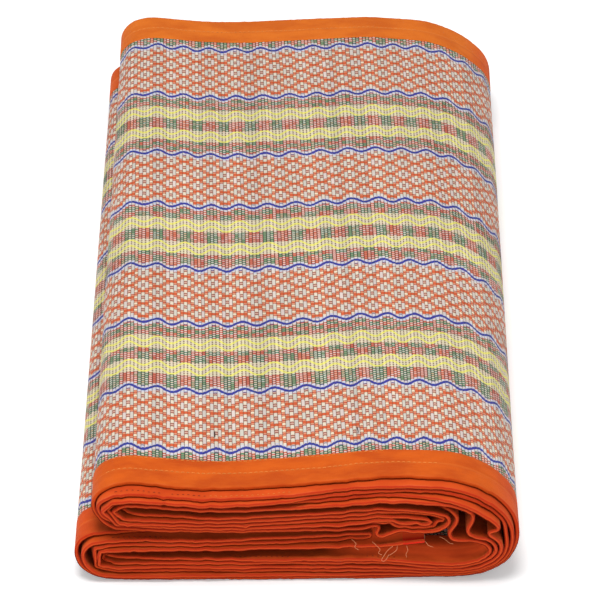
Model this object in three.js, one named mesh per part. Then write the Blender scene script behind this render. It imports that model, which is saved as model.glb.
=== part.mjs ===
// Woven grass floor mat, folded up for storage.
//
// One strip of reed matting, its reeds along Y and its coloured cotton warps
// along the strip, with an orange cotton tape folded over the reed ends on both
// long edges.  The strip was folded in three, halved, both ends turned in to
// the middle and the two halves closed like a book, so that it lies in 24 plies
// in four packs of six.  The whole strip is one path in the XZ plane:
//
//     pack T (top)      T1..T6    pack B   B6..B1
//     pack C            C1..C6    pack D   D6..D1 (on the floor)
//
// T and B turn into each other on the left, C and D turn into each other on
// the left, and T and D turn into each other round the spine on the right.
//
// Millimetres, +Z up, near edge towards -Y, origin on the floor under the
// middle of the bundle.

import * as THREE from 'three';
import { mergeVertices } from 'three/addons/utils/BufferGeometryUtils.js';

// ---------------------------------------------------------------- dimensions
const REED = 616;          // length along the reeds over both tapes: the strip's width
const MAT = 1.0;           // thickness of the woven sheet
const GAP = 0.3;           // clearance between the sheet and its tape
const TAPE = 0.32;         // thickness of the tape on each face
const TAPE_WIDTH = 31.6;   // how far the tape reaches in from the edge
const TAPE_EDGE = 0.9;     // tape's fold at the reed ends
const END_GAP = 1.1;       // room between the reed ends and the tape's fold
const PLY = MAT + 2 * GAP + 2 * TAPE;   // one ply through its binding
const SPACING = 3.16;      // least distance between the plies' centre lines
const FLOOR_LIFT = PLY / 2;

const PACK = 23;           // steps from the lowest ply to the top one
const T_PITCH = 3.25;      // pitch of the upper packs where they lie close
const D_PITCH = 3.15;      // pitch of pack D where it runs to the spine
const SPINE_PITCH = 3.45;  // pitch of the plies round the spine
const SPINE_REACH = 151.7; // outermost ply's centre line on the right

// The bundle narrows towards its far edge: how far the left turns of the upper
// and of the lower packs lie further right there.
const NARROW_TB = 1.2, NARROW_CD = 4.6;
// It also sinks there on the right: change of the top's height at the far edge.
const FAR_TOP = [
  { x: -126, z: -0.5 }, { x: -85, z: 0.0 }, { x: -50, z: 0.0 }, { x: 0, z: -1.2 }, { x: 40, z: -3.6 },
  { x: 63, z: -5.2 }, { x: 100, z: -8.0 }, { x: 120, z: -10.5 }, { x: 138, z: -13.0 }, { x: 152, z: -14.0 },
];
const TOP = 82;            // height at which that change is reached in full

// Underside of the top ply across the bundle: the dip and the hump.
const TOP_LINE = [
  { x: -126, z: 76.4 }, { x: -113, z: 76.8 }, { x: -92, z: 74.4 }, { x: -72, z: 72.5 },
  { x: -52, z: 71.8 }, { x: -32, z: 72.8 }, { x: 0, z: 75.3 }, { x: 20, z: 77.5 },
  { x: 40, z: 80.0 }, { x: 60, z: 81.8 }, { x: 80, z: 81.7 }, { x: 95, z: 81.4 },
];

// Plies from the floor up, and how far each stands forward of the top ply's
// near edge at the left turn, in the middle and at the right.
const PLIES = [
  { ply: 'D1', left: 5.3, middle: 5.3, right: 2.5 },
  { ply: 'D2', left: 8.6, middle: 7.1, right: 5.8 },
  { ply: 'D3', left: 5.9, middle: 5.3, right: 7.6 },
  { ply: 'D4', left: 6.9, middle: 6.0, right: 8.6 },
  { ply: 'D5', left: 6.5, middle: 5.4, right: 9.2 },
  { ply: 'D6', left: 4.1, middle: 6.3, right: 10.5 },
  { ply: 'C6', left: -3.0, middle: -8.0, right: -6.0 },
  { ply: 'C5', left: -4.0, middle: -7.0, right: -6.0 },
  { ply: 'C4', left: 9.5, middle: 5.6, right: 9.7 },
  { ply: 'C3', left: 8.0, middle: 3.6, right: 3.5 },
  { ply: 'C2', left: 7.5, middle: 3.2, right: 1.0 },
  { ply: 'C1', left: 1.0, middle: -8.0, right: -4.0 },
  { ply: 'B1', left: 3.0, middle: 2.8, right: 8.0 },
  { ply: 'B2', left: 2.0, middle: 1.5, right: 7.0 },
  { ply: 'B3', left: 8.0, middle: 8.0, right: 10.0 },
  { ply: 'B4', left: 11.0, middle: 7.5, right: 8.5 },
  { ply: 'B5', left: 10.5, middle: 8.0, right: 8.0 },
  { ply: 'B6', left: 8.0, middle: 8.0, right: 8.0 },
  { ply: 'T6', left: -2.0, middle: -6.0, right: -2.0 },
  { ply: 'T5', left: 8.0, middle: 8.7, right: 12.0 },
  { ply: 'T4', left: 6.0, middle: 6.0, right: 10.5 },
  { ply: 'T3', left: 12.3, middle: 11.5, right: 12.7 },
  { ply: 'T2', left: 8.5, middle: 8.5, right: 10.0 },
  { ply: 'T1', left: 0.0, middle: 0.0, right: 0.0 },
];
// Extra forward stand in the creases at the right.
const CREASE_STAND = { 'T6>': 11, 'T4>': 4, 'B1>': 2 };
// Plies that slip back to the right of the middle.
const SET_BACK = {
  T2: { from: -15, to: 20, by: 2.6 }, T3: { from: -15, to: 20, by: 5.4 }, T4: { from: 0, to: 60, by: 1.2 },
};
// How far a ply lies further right at the far edge.
const spread = (mark, x) => ('TB'.includes(mark[0]) ? NARROW_TB : NARROW_CD) * smooth(-40, -118, x);

// Left turns, outermost first: reach of the centre line, radius of the upper
// and of the lower quarter, and how far the reach lies above the middle.
const TURNS_TB = [
  { reach: -139.0, over: 26.0, under: 15.0 },
  { reach: -135.75, over: 21.5, under: 13.5 },
  { reach: -132.5, over: 17.0, under: 11.5 },
  { reach: -129.25, over: 12.5, under: 9.0 },
  { reach: -126.0, over: 7.0, under: 7.0 },
  { reach: -123.4, over: 3.0, under: 3.0 },
];
const TURN_TB_HEIGHT = 59.7;
const TURNS_CD = [
  { reach: -151.1, radius: 25.0, rise: 4.0 },
  { reach: -146.5, radius: 21.0, rise: 3.0 },
  { reach: -143.5, radius: 17.0, rise: 3.0 },
  { reach: -140.5, radius: 13.0, rise: 1.5 },
  { reach: -137.4, radius: 7.0, rise: 0.0 },
  { reach: -134.8, radius: 3.0, rise: 0.0 },
];

// Lower corner of the spine: centre of the quarter and its fullness.
const SPINE_LOW = [
  { x: 106, z: 34, full: 2.0 }, { x: 106, z: 34, full: 2.0 }, { x: 107, z: 32, full: 2.05 },
  { x: 108, z: 28, full: 2.1 }, { x: 108, z: 28, full: 2.1 }, { x: 108, z: 28, full: 2.1 },
];
// Creases of the inner plies where they crumple inside the spine.
const SPINE_CREASES = {
  3: [
    { x: 142.6, z: 50.5 }, { x: 143.0, z: 44.0 }, { x: 143.8, z: 37.5 },
  ],
  4: [
    { x: 112.0, z: 69.8 }, { x: 124.0, z: 63.4 }, { x: 133.0, z: 56.4 }, { x: 140.6, z: 50.2 },
    { x: 137.6, z: 47.2 }, { x: 130.2, z: 46.4 }, { x: 130.4, z: 43.0 }, { x: 136.6, z: 40.2 },
    { x: 139.8, z: 35.0 },
  ],
  5: [
    { x: 104.0, z: 68.6 }, { x: 113.0, z: 65.8 }, { x: 120.4, z: 61.8 }, { x: 121.4, z: 56.2 },
    { x: 117.6, z: 50.0 }, { x: 115.8, z: 45.2 }, { x: 118.6, z: 41.8 }, { x: 126.0, z: 40.8 },
    { x: 131.8, z: 38.6 }, { x: 136.0, z: 34.0 },
  ],
  6: [
    { x: 97.0, z: 65.4 }, { x: 104.0, z: 62.4 }, { x: 109.6, z: 58.4 }, { x: 110.8, z: 53.4 },
    { x: 106.6, z: 47.0 }, { x: 103.4, z: 41.6 }, { x: 105.6, z: 37.4 }, { x: 114.0, z: 36.6 },
    { x: 123.0, z: 36.6 }, { x: 129.5, z: 34.6 }, { x: 132.6, z: 30.6 },
  ],
};

// Right ends of pack B, from the upper ply round to the lower one.
const BEND_16 = [
  { x: 70, z: 61.7 }, { x: 84, z: 60.6 }, { x: 95, z: 57.6 }, { x: 103, z: 54 },
  { x: 105.2, z: 50 }, { x: 101.8, z: 45.8 }, { x: 95, z: 42.8 }, { x: 86, z: 41.3 },
  { x: 76, z: 41.2 }, { x: 67, z: 40.8 }, { x: 60.4, z: 38.8 }, { x: 54.6, z: 37.6 },
  { x: 53.2, z: 40.4 }, { x: 57.0, z: 44.0 }, { x: 58.2, z: 47.6 }, { x: 53.4, z: 47.6 },
  { x: 47.0, z: 44.6 },
];
const BEND_25 = [
  { x: 70, z: 58.5 }, { x: 82, z: 57.2 }, { x: 90, z: 54.4 }, { x: 95, z: 50.6 },
  { x: 91, z: 47.9 }, { x: 82, z: 46.9 }, { x: 72, z: 47.4 }, { x: 64, z: 50.0 },
  { x: 57, z: 50.9 },
];
const BEND_34 = [
  { x: 64, z: 56.9 }, { x: 72, z: 55.6 }, { x: 79, z: 54.2 }, { x: 81.6, z: 52.2 },
  { x: 78, z: 50.6 }, { x: 70, z: 51.2 }, { x: 64, z: 53.4 }, { x: 57, z: 54.1 },
];
// Right ends of pack C: two free ends and two turns.
const FREE_END_C1 = 46;
const NOSE_C2 = { start: 50, nose: 54 };
const NOSE_C5 = { start: 60, nose: 64.5 };
const FREE_END_C4 = [{ x: 74, z: 33.2 }, { x: 88, z: 36.0 }];

// Stations at which the flat runs are given their height.
const STATIONS = [-104, -88, -72, -56, -38, -20, 0, 20, 40];
const STATIONS_T = [56, 75];
const STATIONS_D = [60, 85, 99];

// ---------------------------------------------------------------- the levels
const clamp = (v, a, b) => Math.min(b, Math.max(a, v));
const smooth = (a, b, v) => { const t = clamp((v - a) / (b - a), 0, 1); return t * t * (3 - 2 * t); };

function curve(t, x) {
  const n = t.length;
  if (x <= t[0].x) return t[0].z;
  if (x >= t[n - 1].x) return t[n - 1].z;
  let i = 0;
  while (x >= t[i + 1].x) i++;
  const a = t[Math.max(i - 1, 0)], b = t[i], c = t[i + 1], d = t[Math.min(i + 2, n - 1)];
  const h = c.x - b.x, u = (x - b.x) / h;
  const m1 = (c.z - a.z) / (c.x - a.x) * h, m2 = (d.z - b.z) / (d.x - b.x) * h;
  return (2 * u ** 3 - 3 * u ** 2 + 1) * b.z + (u ** 3 - 2 * u ** 2 + u) * m1
    + (-2 * u ** 3 + 3 * u ** 2) * c.z + (u ** 3 - u ** 2) * m2;
}
const topLine = (x) => curve(TOP_LINE, x);
function level(ply, x) {
  const i = PLIES.findIndex((row) => row.ply === ply);
  const top = topLine(x);
  let z = i * top / PACK;
  if (ply[0] === 'B' || ply[0] === 'T') z += smooth(38, 56, x) * (top - (PACK - i) * T_PITCH - z);
  if (ply[0] === 'D') z += smooth(55, 110, x) * (i * D_PITCH - z);
  return z + FLOOR_LIFT;
}
const STAND_FROM = -113, STAND_TO = 95, STAND_MID = 0.45;
function stand(mark, x) {
  const row = PLIES.find((r) => mark.startsWith(r.ply));
  const t = clamp((clamp(x, -120, 100) - STAND_FROM) / (STAND_TO - STAND_FROM), -0.1, 1.15), m = STAND_MID;
  const back = SET_BACK[row.ply] ?? { from: 0, to: 1, by: 0 };
  return -back.by * smooth(back.from, back.to, x) + row.left * (t - m) * (t - 1) / m + row.middle * t * (t - 1) / (m * (m - 1))
    + row.right * t * (t - m) / (1 - m) + (CREASE_STAND[mark] ?? 0);
}

// ---------------------------------------------------------------- the path
function quarter(cx, cz, rx, rz, full, from, to, steps) {
  const pts = [];
  for (let k = 0; k <= steps; k++) {
    const a = THREE.MathUtils.degToRad(from + (to - from) * k / steps);
    const c = Math.cos(a), s = Math.sin(a);
    pts.push({
      x: cx + rx * Math.sign(c) * Math.abs(c) ** (2 / full),
      z: cz + rz * Math.sign(s) * Math.abs(s) ** (2 / full),
    });
  }
  return pts;
}
function turnTB(k) {
  const { reach, over, under } = TURNS_TB[k - 1];
  const xt = reach + over, zm = TURN_TB_HEIGHT;
  const up = quarter(xt, zm, over, level('T' + k, xt) - zm, 2.0, 90, 180, k < 5 ? 4 : 2);
  if (k >= 5) return [up, quarter(xt, zm, over, zm - level('B' + k, xt), 2.0, 180, 270, 2).slice(1)];
  const xe = reach + under, drop = zm - level('B' + k, xe);
  return [up, [
    { x: reach + 0.5, z: zm - 0.14 * drop },
    { x: reach + 0.42 * under, z: zm - 0.58 * drop },
    { x: xe - 0.12 * under, z: zm - 0.93 * drop },
    { x: xe + 3, z: level('B' + k, xe + 3) },
  ]];
}
function turnCD(k) {
  const { reach, radius, rise } = TURNS_CD[k - 1];
  const xt = reach + radius, zt = level('C' + k, xt), zb = level('D' + k, xt);
  const zm = (zt + zb) / 2 + rise, steps = k < 5 ? 4 : 2;
  return [quarter(xt, zm, radius, zt - zm, 2.2, 90, 180, steps),
    quarter(xt, zm, radius, zm - zb, 2.2, 180, 270, steps).slice(1)];
}
function spine(k) {
  const x0 = 95, z0 = 38, reach = SPINE_REACH - SPINE_PITCH * (k - 1);
  const zt = topLine(x0) + FLOOR_LIFT - (k - 1) * 3.3, zd = FLOOR_LIFT + D_PITCH * (k - 1);
  let up = quarter(x0, z0, reach - x0, zt - z0, 1.84, 90, 0, 9);
  if (k === 3) up = up.filter((p) => p.z > 53).concat(SPINE_CREASES[3]);
  else if (k < 3) up = up.slice(0, -1);
  else up = SPINE_CREASES[k].slice();
  const c = SPINE_LOW[k - 1];
  return [up, quarter(c.x, c.z, reach - c.x, c.z - zd, c.full, 0, -90, k < 4 ? 7 : 6)];
}

function wayPoints() {
  const pts = [];
  const add = (mark, list) => { for (const p of list) pts.push({ x: p.x, z: p.z, mark }); };
  const turned = (list) => list.slice().reverse();
  const run = (ply, dir) => {
    let xs = STATIONS.slice();
    if (ply[0] === 'T') xs = xs.concat(STATIONS_T);
    if (ply[0] === 'D') xs = xs.concat(STATIONS_D);
    if (dir < 0) xs.reverse();
    add(ply, xs.map((x) => ({ x, z: level(ply, x) })));
  };
  const left = (from, to) => {
    const k = +from[1], upper = from[0] === 'T' || from[0] === 'C';
    const [up, low] = 'TB'.includes(from[0]) ? turnTB(k) : turnCD(k);
    add(from + '<', upper ? up : turned(low));
    add(to + '<', upper ? low : turned(up));
  };
  const right = (from, to) => {
    const [up, low] = spine(+from[1]);
    if (from[0] === 'T') { add(from + '>', up); add(to + '>', low); }
    else { add(from + '>', turned(low)); add(to + '>', turned(up)); }
  };
  const nose = (upper, lower, { start, nose: tip }, from) => {
    const zu = level(upper, start), zl = level(lower, start);
    const list = [{ x: start, z: zu - 0.2 }, { x: tip, z: (zu + zl) / 2 }, { x: start, z: zl + 0.2 }];
    add(from + '>', from === upper ? list : turned(list));
  };
  add('C1', [{ x: FREE_END_C1, z: level('C1', FREE_END_C1) }]);
  run('C1', -1); left('C1', 'D1'); run('D1', 1); right('D1', 'T1'); run('T1', -1); left('T1', 'B1');
  run('B1', 1); add('B1>', turned(BEND_16)); run('B6', -1);
  left('B6', 'T6'); run('T6', 1); right('T6', 'D6'); run('D6', -1); left('D6', 'C6');
  run('C6', 1); nose('C5', 'C6', NOSE_C5, 'C6'); run('C5', -1);
  left('C5', 'D5'); run('D5', 1); right('D5', 'T5'); run('T5', -1); left('T5', 'B5');
  run('B5', 1); add('B5>', BEND_25); run('B2', -1);
  left('B2', 'T2'); run('T2', 1); right('T2', 'D2'); run('D2', -1); left('D2', 'C2');
  run('C2', 1); nose('C2', 'C3', NOSE_C2, 'C2'); run('C3', -1);
  left('C3', 'D3'); run('D3', 1); right('D3', 'T3'); run('T3', -1); left('T3', 'B3');
  run('B3', 1); add('B3>', turned(BEND_34)); run('B4', -1);
  left('B4', 'T4'); run('T4', 1); right('T4', 'D4'); run('D4', -1); left('D4', 'C4');
  run('C4', 1); add('C4>', [{ x: 60, z: level('C4', 60) }, ...FREE_END_C4]);
  return pts;
}

// A round curve through the way points, in steps of one millimetre, with the
// forward stand carried along.
function roundPath(pts, step) {
  const v = pts.map((p) => new THREE.Vector3(p.x, 0, p.z));
  const curve = new THREE.CatmullRomCurve3(v, false, 'centripetal');
  const fine = [];
  for (let i = 0; i < pts.length - 1; i++) {
    const m = Math.max(1, Math.round(v[i].distanceTo(v[i + 1]) / (step / 2)));
    const a = stand(pts[i].mark, pts[i].x), b = stand(pts[i + 1].mark, pts[i + 1].x);
    const c = spread(pts[i].mark, pts[i].x), d = spread(pts[i + 1].mark, pts[i + 1].x);
    for (let j = 0; j < m; j++) {
      const q = curve.getPoint((i + j / m) / (pts.length - 1));
      fine.push({ x: q.x, z: q.z, p: a + (b - a) * j / m, q: c + (d - c) * j / m });
    }
  }
  const last = pts[pts.length - 1];
  fine.push({ x: last.x, z: last.z, p: stand(last.mark, last.x), q: spread(last.mark, last.x) });
  const at = [0];
  for (let i = 1; i < fine.length; i++) at.push(at[i - 1] + Math.hypot(fine[i].x - fine[i - 1].x, fine[i].z - fine[i - 1].z));
  const total = at[at.length - 1], n = Math.round(total / step), out = [];
  for (let k = 0, i = 0; k <= n; k++) {
    const s = total * k / n;
    while (i < fine.length - 2 && at[i + 1] < s) i++;
    const t = (s - at[i]) / (at[i + 1] - at[i]);
    out.push({
      x: fine[i].x + t * (fine[i + 1].x - fine[i].x),
      z: fine[i].z + t * (fine[i + 1].z - fine[i].z),
      p: fine[i].p + t * (fine[i + 1].p - fine[i].p),
      q: fine[i].q + t * (fine[i + 1].q - fine[i].q),
    });
  }
  return out;
}

// Plies press on each other: points that lie closer than SPACING, and are not
// next to each other on the strip, push apart, while bending stiffness rounds
// the folds and a weak pull holds each ply in its place.
function press(path) {
  const REACH = 6, ROUNDS = 160, STIFF = 0.28, HOLD = 0.03, FREE_ROUNDS = 30;
  const n = path.length;
  const X = Float64Array.from(path, (p) => p.x), Z = Float64Array.from(path, (p) => p.z);
  const HX = X.slice(), HZ = Z.slice();
  const dx = new Float64Array(n), dz = new Float64Array(n), hits = new Float64Array(n);
  for (let round = 0; round < ROUNDS; round++) {
    dx.fill(0); dz.fill(0); hits.fill(0);
    const cells = new Map();
    const key = (cx, cz) => (cx + 500) * 1000 + cz + 500;
    for (let i = 0; i < n; i++) {
      const k = key(Math.floor(X[i] / SPACING), Math.floor(Z[i] / SPACING));
      if (!cells.has(k)) cells.set(k, []);
      cells.get(k).push(i);
    }
    for (let i = 0; i < n; i++) {
      const cx = Math.floor(X[i] / SPACING), cz = Math.floor(Z[i] / SPACING);
      for (let ox = -1; ox <= 1; ox++) for (let oz = -1; oz <= 1; oz++) {
        const list = cells.get(key(cx + ox, cz + oz));
        if (!list) continue;
        for (const j of list) {
          if (j - i <= REACH) continue;
          const ex = X[j] - X[i], ez = Z[j] - Z[i], d = Math.hypot(ex, ez);
          if (d >= SPACING) continue;
          const w = (SPACING - d) / Math.max(d, 0.05) / 2;
          dx[i] -= ex * w; dz[i] -= ez * w; dx[j] += ex * w; dz[j] += ez * w;
          hits[i]++; hits[j]++;
        }
      }
    }
    for (let i = 0; i < n; i++) {
      X[i] += dx[i] / Math.max(hits[i], 1); Z[i] += dz[i] / Math.max(hits[i], 1);
    }
    const lx = X.slice(), lz = Z.slice();
    for (let i = 1; i < n - 1; i++) {
      X[i] += STIFF * ((lx[i - 1] + lx[i + 1]) / 2 - lx[i]);
      Z[i] += STIFF * ((lz[i - 1] + lz[i + 1]) / 2 - lz[i]);
    }
    for (let i = 0; i < n; i++) {
      Z[i] = Math.max(Z[i], FLOOR_LIFT);
      if (round < ROUNDS - FREE_ROUNDS) { X[i] += HOLD * (HX[i] - X[i]); Z[i] += HOLD * (HZ[i] - Z[i]); }
    }
  }
  // the forward stand changes gently along the strip
  const EASE = 22, out = [];
  for (let i = 0; i < n; i++) {
    let sum = 0;
    for (let j = i - EASE; j <= i + EASE; j++) sum += path[clamp(j, 0, n - 1)].p;
    out.push({ x: X[i], z: Z[i], p: sum / (2 * EASE + 1), q: path[i].q });
  }
  return out;
}

// The path keeps its points on shared lines, so that plies that lie on each
// other bend at the same places: upright lines across the flat runs and spokes
// round each turn.  Between them it keeps the fewest that hold a tolerance.
const UPRIGHTS = [-96, -52, 0, 52];
const UPRIGHTS_RIGHT = [96];
const CREASED_FROM = 45;      // right of this the plies crumple and need more points
const SPOKES = [
  { x: -113, z: 59.7, from: 90, to: 270, count: 6, side: -1, above: 40 },
  { x: -118.4, z: 59.4, from: 90, to: 270, count: 4, side: -1, above: 57, below: 62 },
  { x: -126, z: 22.0, from: 90, to: 270, count: 6, side: -1, below: 44 },
  { x: 96, z: 40.0, from: -90, to: 90, count: 8, side: 1 },
];
function onSharedLines(path) {
  const keep = new Set([0, path.length - 1]);
  const nearer = (i, e) => (Math.abs(e(path[i])) < Math.abs(e(path[i - 1])) ? i : i - 1);
  for (let i = 1; i < path.length; i++) {
    const a = path[i - 1], b = path[i];
    for (const x of UPRIGHTS.concat(UPRIGHTS_RIGHT)) {
      if ((a.x - x) * (b.x - x) <= 0) keep.add(nearer(i, (q) => q.x - x));
    }
    for (const c of SPOKES) {
      const inside = (q) => (q.x - c.x) * c.side > -1 && q.z > (c.above ?? -1) && q.z < (c.below ?? 999);
      if (!inside(a) || !inside(b)) continue;
      for (let k = 0; k <= c.count; k++) {
        const t = THREE.MathUtils.degToRad(c.from + (c.to - c.from) * k / c.count);
        const across = (q) => (q.z - c.z) * Math.cos(t) - (q.x - c.x) * Math.sin(t);
        const along = (q) => (q.z - c.z) * Math.sin(t) + (q.x - c.x) * Math.cos(t);
        if (across(a) * across(b) <= 0 && along(b) > 0) keep.add(nearer(i, across));
      }
    }
  }
  return keep;
}
function thin(path, tolerance, longest) {
  const P_WEIGHT = 0.1;
  const kept = [...onSharedLines(path)].sort((a, b) => a - b).filter((v, i, all) => i === 0 || v - all[i - 1] > 1);
  const keep = new Set(kept);
  const split = (a, b) => {
    if (b - a < 3) return;
    const A = path[a], B = path[b];
    const ux = B.x - A.x, uz = B.z - A.z, len = Math.max(Math.hypot(ux, uz), 1e-9);
    let worst = 0, at = (a + b) >> 1;
    for (let i = a + 1; i < b; i++) {
      const qx = path[i].x - A.x, qz = path[i].z - A.z;
      const t = clamp((qx * ux + qz * uz) / (len * len), 0, 1);
      const off = Math.hypot(qx - t * ux, qz - t * uz);
      const e = Math.max(off, Math.abs(path[i].p - (A.p + t * (B.p - A.p))) * P_WEIGHT);
      if (e > worst) { worst = e; at = i; }
    }
    const loose = A.x < CREASED_FROM ? 1.4 : 1;
    if (worst > tolerance * loose || b - a > longest) { keep.add(at); split(a, at); split(at, b); }
  };
  for (let i = 1; i < kept.length; i++) split(kept[i - 1], kept[i]);
  return [...keep].sort((a, b) => a - b).map((i) => path[i]);
}

// Sweeps a section along the folded path.  The section lies across the strip:
// its first coordinate is the place along the reeds, its second the height
// over the middle of the ply.  Every ply is moved forward by its stand, and
// the bundle narrows and sinks in a straight line towards its far edge.
function sweep(section, path) {
  const shape = new THREE.Shape(section.map((q) => new THREE.Vector2(q.along, q.over)));
  const last = path.length - 1;
  const geometry = new THREE.ExtrudeGeometry(shape, { depth: last, steps: last, bevelEnabled: false });
  const side = path.map((b, i) => {
    const a = path[Math.max(i - 1, 0)], c = path[Math.min(i + 1, last)];
    const u = new THREE.Vector2(b.x - a.x, b.z - a.z), w = new THREE.Vector2(c.x - b.x, c.z - b.z);
    if (i === 0) u.copy(w);
    if (i === last) w.copy(u);
    const m = u.normalize().clone().add(w.normalize()).normalize();
    const k = 1 / Math.max(0.6, m.dot(u));
    return { x: -m.y * k, z: m.x * k };
  });
  const pos = geometry.attributes.position;
  // every four-sided face is split along the diagonal that runs back to the
  // right, so that both faces of the cloth, and plies on each other, agree
  const copy = (to, from) => pos.setXYZ(to, pos.getX(from), pos.getY(from), pos.getZ(from));
  for (let v = 6 * (section.length - 2); v < pos.count; v += 6) {
    const rising = pos.getX(v + 1) < pos.getX(v), i = Math.round(pos.getZ(v));
    if (rising !== (path[i + 1].x > path[i].x)) { copy(v + 2, v + 4); copy(v + 3, v); }
  }
  for (let v = 0; v < pos.count; v++) {
    const i = Math.round(pos.getZ(v)), y = pos.getX(v), h = pos.getY(v);
    const at = path[i], far = (y + REED / 2) / REED;
    const z = at.z + h * side[i].z;
    pos.setXYZ(v, at.x + h * side[i].x + far * at.q, y - at.p, z * (1 + far * curve(FAR_TOP, at.x) / TOP));
  }
  geometry.deleteAttribute('normal');
  geometry.deleteAttribute('uv');
  const merged = mergeVertices(geometry, 1e-4);
  merged.computeVertexNormals();
  return merged;
}

// ---------------------------------------------------------------- the pieces
const FINE = 0.8, LONGEST = 60;
const path = thin(press(roundPath(wayPoints(), 1)), FINE, LONGEST);

const group = new THREE.Group();
function piece(name, geometry, color, roughness) {
  const material = new THREE.MeshStandardMaterial({ color, roughness, metalness: 0 });
  const mesh = new THREE.Mesh(geometry, material);
  mesh.name = name;
  group.add(mesh);
}

// the woven sheet, its reed ends inside the tapes
const REED_END = REED / 2 - TAPE_EDGE - END_GAP;
piece('mat', sweep([
  { along: -REED_END, over: -MAT / 2 }, { along: REED_END, over: -MAT / 2 },
  { along: REED_END, over: MAT / 2 }, { along: -REED_END, over: MAT / 2 },
], path), 0xdcd2c2, 0.8);

// the tapes: each folded over the reed ends, open towards the middle of the mat
const OUTER = PLY / 2, INNER = MAT / 2 + GAP;
const RIM = REED / 2 - TAPE_WIDTH, FLOOR = REED / 2 - TAPE_EDGE;
for (const [name, side] of [['binding_near', -1], ['binding_far', 1]]) {
  piece(name, sweep([
    { along: side * RIM, over: -side * OUTER }, { along: side * REED / 2, over: -side * OUTER },
    { along: side * REED / 2, over: side * OUTER }, { along: side * RIM, over: side * OUTER },
    { along: side * RIM, over: side * INNER }, { along: side * FLOOR, over: side * INNER },
    { along: side * FLOOR, over: -side * INNER }, { along: side * RIM, over: -side * INNER },
  ], path), 0xd2552a, 0.85);
}

// origin under the middle of the bundle
const box = new THREE.Box3().setFromObject(group), middle = box.getCenter(new THREE.Vector3());
for (const mesh of group.children) mesh.position.set(-middle.x, -middle.y, 0);

export default group;
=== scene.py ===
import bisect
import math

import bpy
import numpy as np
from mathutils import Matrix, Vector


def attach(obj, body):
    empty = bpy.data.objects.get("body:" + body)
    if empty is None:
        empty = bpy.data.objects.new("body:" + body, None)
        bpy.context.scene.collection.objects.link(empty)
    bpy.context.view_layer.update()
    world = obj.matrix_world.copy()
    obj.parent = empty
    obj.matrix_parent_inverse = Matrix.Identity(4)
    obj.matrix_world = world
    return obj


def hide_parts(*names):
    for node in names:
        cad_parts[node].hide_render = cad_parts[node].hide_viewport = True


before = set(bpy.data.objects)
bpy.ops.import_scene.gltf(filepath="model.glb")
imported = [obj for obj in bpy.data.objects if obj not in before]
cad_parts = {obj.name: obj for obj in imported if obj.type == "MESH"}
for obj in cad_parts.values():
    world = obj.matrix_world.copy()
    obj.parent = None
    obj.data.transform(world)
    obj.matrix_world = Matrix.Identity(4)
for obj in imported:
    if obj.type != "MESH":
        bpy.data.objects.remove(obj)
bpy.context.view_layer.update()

# Woven grass floor mat, folded in four packs of six plies, with an orange
# cotton tape sewn over the reed ends.  All lengths below are in millimetres
# and are turned into metres when a mesh is written.  The strip is one path in
# the XZ plane; the reeds run along Y.

MM = 0.001
OFFSET_X, OFFSET_Y = -0.3269, 2.6348     # the path's own frame to the row frame

# ------------------------------------------------------------------ sizes
REED = 616.0            # the strip's width over both tapes
TAPE_WIDTH = 31.6       # tape on each face, in from the edge
PLY = 2.8               # a bound edge through its tape
MAT = 1.9               # woven grass
SPACING = 3.16          # least distance between the plies' centre lines
NARROW_TB, NARROW_CD = 1.2, 4.6          # the left turns lie further right at the far edge
TOP = 82.0
REEDS = 8               # reeds in one wave of the pattern
WAVE = 20.3             # one wave of the pattern
REED_PITCH = WAVE / REEDS
WAVE_AT = -1.0          # a crest of the waves
WAVE_HIGH = 2.8
SKEW = 0.0254           # the reeds lean to the right towards the near edge
REPEAT = 153.2          # one yellow group and one diamond band
WAVE_OUT = 41.5         # the blue waves, out from a yellow group's middle
PACK, T_PITCH, D_PITCH = 23, 3.25, 3.15
SPINE_PITCH, SPINE_REACH = 3.45, 151.7

# the top sinks towards the far edge on the right: x, change of height
FAR_TOP = [(-126, -0.5), (-85, 0.0), (-50, 0.0), (0, -1.2), (40, -3.6), (63, -5.2), (100, -8.0),
           (120, -10.5), (138, -13.0), (152, -14.0)]

# underside of the top ply: x, z
TOP_LINE = [(-126, 76.4), (-113, 76.8), (-92, 74.4), (-72, 72.5), (-52, 71.8), (-32, 72.8),
            (0, 75.3), (20, 77.5), (40, 80.0), (60, 81.8), (80, 81.7), (95, 81.4)]

# plies from the floor up: name, forward stand at the left, the middle, the right
PLIES = [
    ("D1", 5.3, 5.3, 2.5), ("D2", 8.6, 7.1, 5.8), ("D3", 5.9, 5.3, 7.6), ("D4", 6.9, 6.0, 8.6),
    ("D5", 6.5, 5.4, 9.2), ("D6", 4.1, 6.3, 10.5), ("C6", -3.0, -8.0, -6.0), ("C5", -4.0, -7.0, -6.0),
    ("C4", 9.5, 5.6, 9.7), ("C3", 8.0, 3.6, 3.5), ("C2", 7.5, 3.2, 1.0), ("C1", 1.0, -8.0, -4.0),
    ("B1", 3.0, 2.8, 8.0), ("B2", 2.0, 1.5, 7.0), ("B3", 8.0, 8.0, 10.0), ("B4", 11.0, 7.5, 8.5),
    ("B5", 10.5, 8.0, 8.0), ("B6", 8.0, 8.0, 8.0), ("T6", -2.0, -6.0, -2.0), ("T5", 8.0, 8.7, 12.0),
    ("T4", 6.0, 6.0, 10.5), ("T3", 12.3, 11.5, 12.7), ("T2", 8.5, 8.5, 10.0), ("T1", 0.0, 0.0, 0.0),
]
ORDER = {row[0]: i for i, row in enumerate(PLIES)}
STAND = {row[0]: row[1:] for row in PLIES}
CREASE_STAND = {"T6>": 11.0, "T4>": 4.0, "B1>": 2.0}
# plies that slip back to the right of the middle: from x, to x, by how much
SET_BACK = {"T2": (-15, 20, 2.6), "T3": (-15, 20, 5.4), "T4": (0, 60, 1.2)}

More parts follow.
